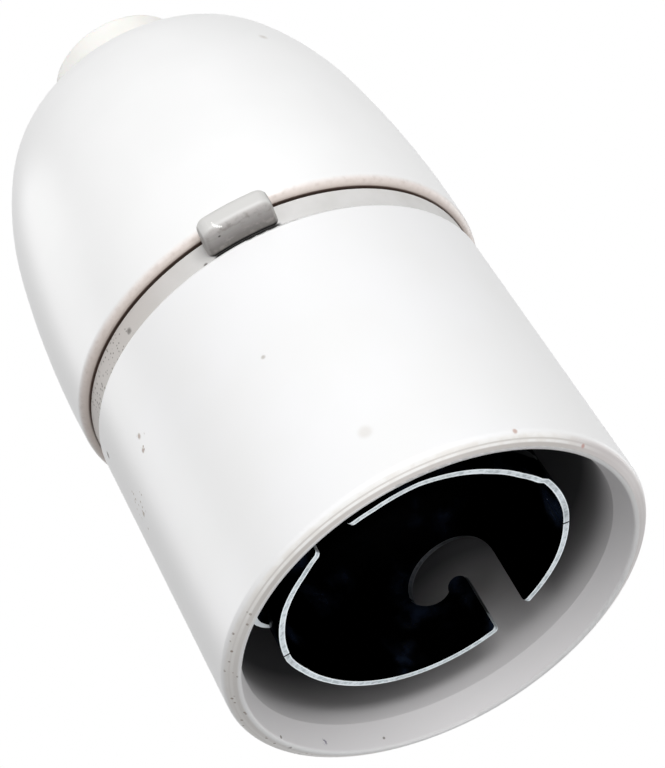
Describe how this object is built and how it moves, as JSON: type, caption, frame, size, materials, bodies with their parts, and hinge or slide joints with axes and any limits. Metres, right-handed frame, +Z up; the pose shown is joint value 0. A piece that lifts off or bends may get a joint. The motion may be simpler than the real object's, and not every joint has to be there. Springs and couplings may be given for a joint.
{
  "type": "cord grip lamp holder",
  "caption": "Pendant lamp holder for a two-pin bayonet lamp: flared skirt, lock ring with a tab, domed screw cap and a split cord grip, with sprung contact plungers inside.",
  "frame": {"origin": "centre of the mouth plane, where the holder stands and the lamp enters", "axes": "+Z up the cord, away from the lamp; -Y towards the tab of the lock ring; +X to the right of the tab"},
  "size_m": [0.0346, 0.0361, 0.0595],
  "materials": {
    "white_plastic": "moulded white thermoset, satin gloss",
    "grey_plastic": "moulded light grey nylon",
    "cream_nylon": "natural nylon",
    "insulator": "dark brown phenolic moulding",
    "plated_sleeve": "bright nickel plate on rolled steel",
    "spring_steel": "drawn spring wire and strip",
    "brass": "turned and drawn brass",
    "screw_steel": "zinc plated screw"
  },
  "bodies": {
    "holder": {"skirt": "white_plastic", "bayonet_sleeve": "plated_sleeve", "terminal_block": "insulator", "plunger_guide": "insulator", "retaining_ring": "spring_steel", "contact_tube_a": "brass", "contact_tube_b": "brass", "plunger_spring_a": "spring_steel", "plunger_spring_b": "spring_steel", "terminal_a": "brass", "terminal_b": "brass", "terminal_screw_a": "screw_steel", "terminal_screw_b": "screw_steel", "guide_screw_a": "screw_steel", "guide_screw_b": "screw_steel"},
    "lock_ring": {"lock_ring": "grey_plastic"},
    "cord_grip": {"cord_grip": "cream_nylon"},
    "dome_cap": {"dome_cap": "white_plastic"},
    "plunger_a": {"plunger_a": "brass"},
    "plunger_b": {"plunger_b": "brass"}
  },
  "joints": [
    {"name": "lock_turn", "type": "hinge", "parent": "holder", "child": "lock_ring", "pos_m": [0, 0, 0.0266], "axis": [0, 0, 1], "range_deg": [0, 40]},
    {"name": "grip_lift", "type": "slide", "parent": "holder", "child": "cord_grip", "axis": [0, 0, 1], "range_m": [0, 0.00585]},
    {"name": "cap_turn", "type": "hinge", "parent": "cord_grip", "child": "dome_cap", "pos_m": [0, 0, 0.04], "axis": [0, 0, 1], "range_deg": [0, 1044]},
    {"name": "plunger_a_press", "type": "slide", "parent": "holder", "child": "plunger_a", "axis": [0, 0, 1], "range_m": [0, 0.003], "stiffness_N_per_m": 1500, "springref_m": -0.002, "deforming": ["plunger_spring_a"]},
    {"name": "plunger_b_press", "type": "slide", "parent": "holder", "child": "plunger_b", "axis": [0, 0, 1], "range_m": [0, 0.003], "stiffness_N_per_m": 1500, "springref_m": -0.002, "deforming": ["plunger_spring_b"]}
  ],
  "couplings": [
    {"joint": "grip_lift", "follows": "cap_turn", "m_per_rad": 0.00031831}
  ]
}
